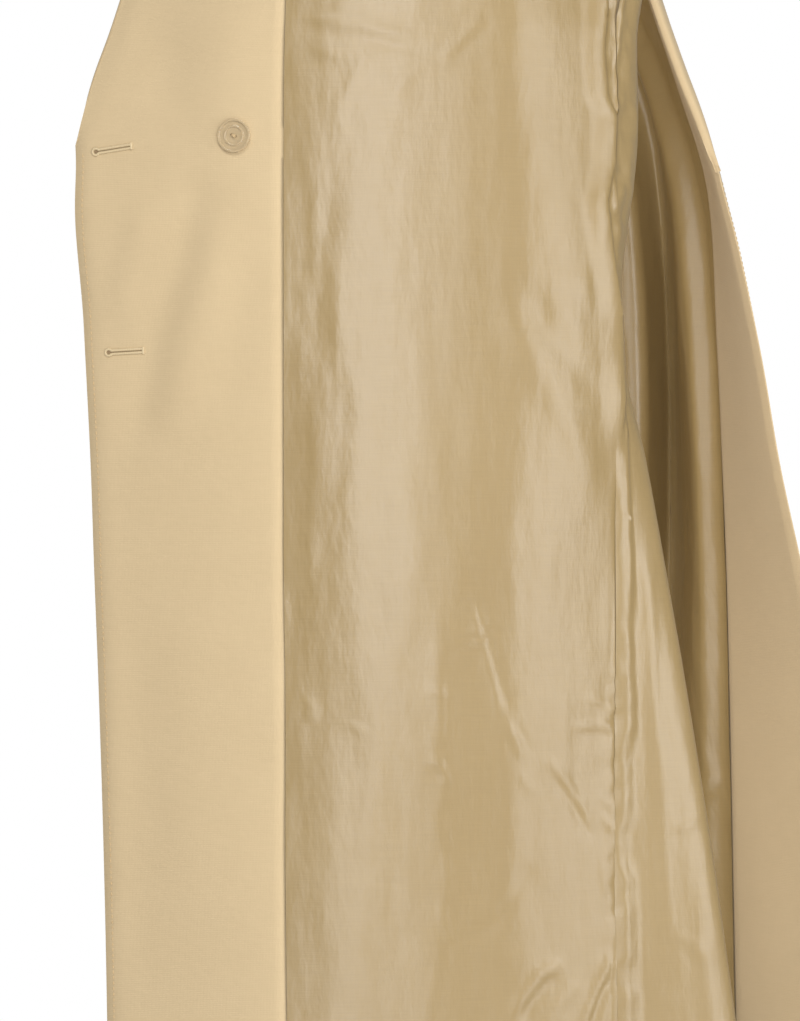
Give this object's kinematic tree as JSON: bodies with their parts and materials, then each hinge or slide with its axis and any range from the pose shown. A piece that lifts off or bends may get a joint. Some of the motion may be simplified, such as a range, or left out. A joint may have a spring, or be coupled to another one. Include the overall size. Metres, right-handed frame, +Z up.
{
  "type": "trench coat, worn open, held up at the shoulders",
  "caption": "Long double-breasted coat of tan cotton with a satin lining, filled out as worn, its right front laid open and back.",
  "frame": {"origin": "between the two neck points of the shoulder seams, where the wearer's shoulders hold the coat up", "axes": "+Z up, -Y the way the coat faces, +X the wearer's left"},
  "size_m": [0.6019, 0.5264, 1.0971],
  "materials": {
    "gabardine": "matt, close twill",
    "satin_lining": "satin sheen",
    "horn_plastic": "mottled, polished",
    "clear_plastic": "clear, polished"
  },
  "bodies": {
    "root": {"back": "gabardine", "back_lining": "satin_lining", "left_front": "gabardine", "left_front_lining": "satin_lining", "left_facing": "gabardine", "left_lapel": "gabardine", "left_sleeve": "gabardine", "right_front": "gabardine", "right_front_lining": "satin_lining", "right_facing": "gabardine", "right_lapel": "gabardine", "right_sleeve": "gabardine", "collar": "gabardine", "button_left_1": "horn_plastic", "button_left_2": "horn_plastic", "button_right_1": "horn_plastic", "button_right_2": "horn_plastic", "backing_button": "clear_plastic"}
  },
  "joints": []
}
